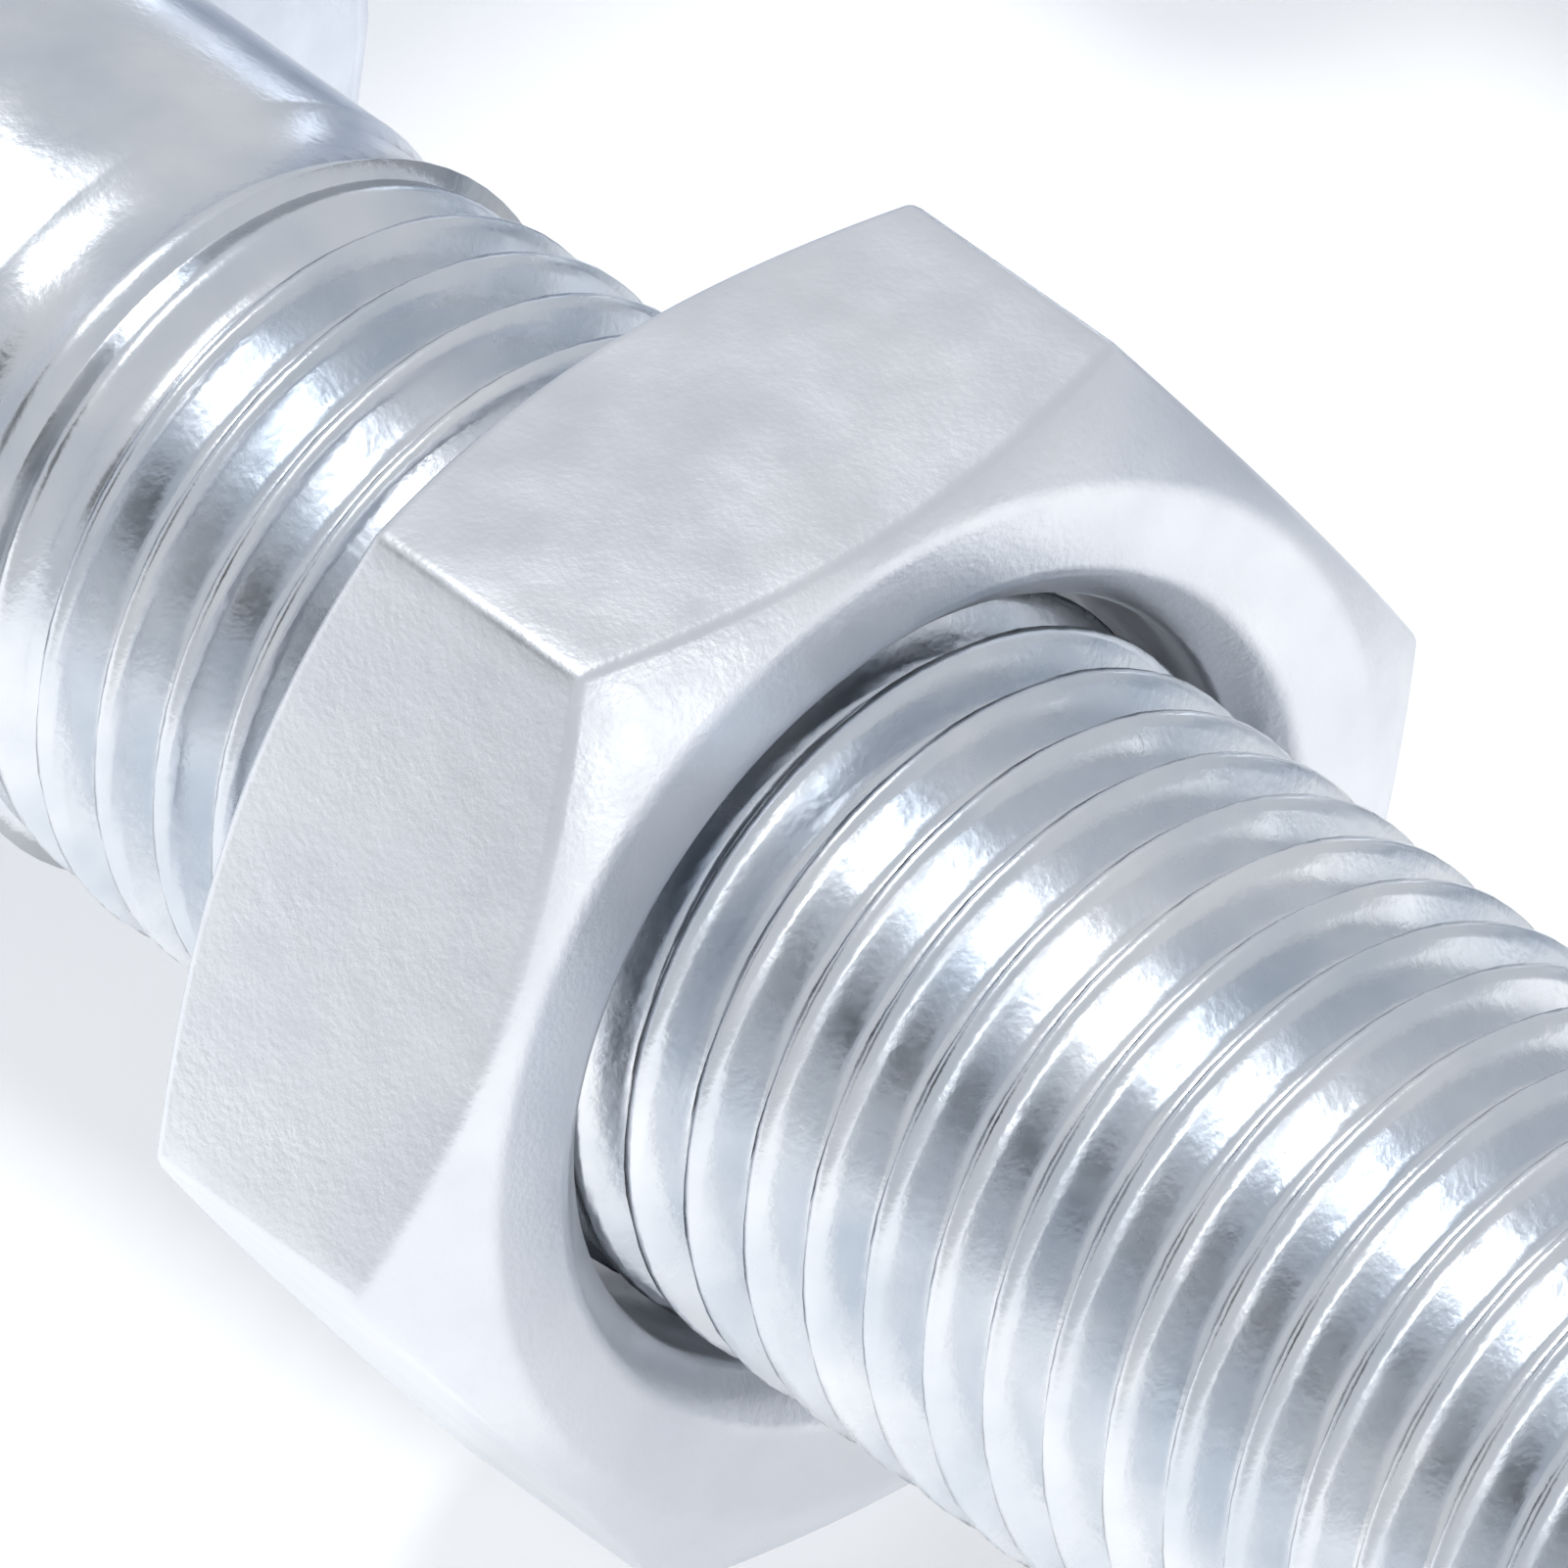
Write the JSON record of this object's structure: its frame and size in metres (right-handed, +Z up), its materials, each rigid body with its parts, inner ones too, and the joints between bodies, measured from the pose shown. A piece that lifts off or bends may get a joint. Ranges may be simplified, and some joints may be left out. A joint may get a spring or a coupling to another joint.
{
  "type": "wire rope clip",
  "caption": "Wire rope clip: a threaded U-bolt whose hex nuts draw a grooved saddle down onto a rope held in the bow.",
  "frame": {"origin": "bottom centre of the clip as it lies on its side: midway along its length, midway between the legs, on the surface under the saddle", "axes": "+X along the legs towards their free ends, +Y from leg a to leg b, +Z up, square to the plane of the U"},
  "size_m": [0.0854, 0.042, 0.015],
  "materials": {
    "zinc_bolt": "bright zinc plate on rolled steel",
    "zinc_saddle": "satin zinc plate, fine grain",
    "zinc_nut": "satin zinc plate, fine grain"
  },
  "bodies": {
    "u_bolt": {"u_bolt": "zinc_bolt"},
    "saddle": {"saddle": "zinc_saddle"},
    "nut_a": {"nut_a": "zinc_nut"},
    "nut_b": {"nut_b": "zinc_nut"}
  },
  "joints": [
    {"name": "saddle_slide", "type": "slide", "parent": "u_bolt", "child": "saddle", "axis": [1, 0, 0], "range_m": [-0.015, 0.0068]},
    {"name": "nut_a_travel", "type": "slide", "parent": "u_bolt", "child": "nut_a", "axis": [1, 0, 0], "range_m": [-0.0065, 0.017]},
    {"name": "nut_b_travel", "type": "slide", "parent": "u_bolt", "child": "nut_b", "axis": [1, 0, 0], "range_m": [-0.0065, 0.017]}
  ]
}
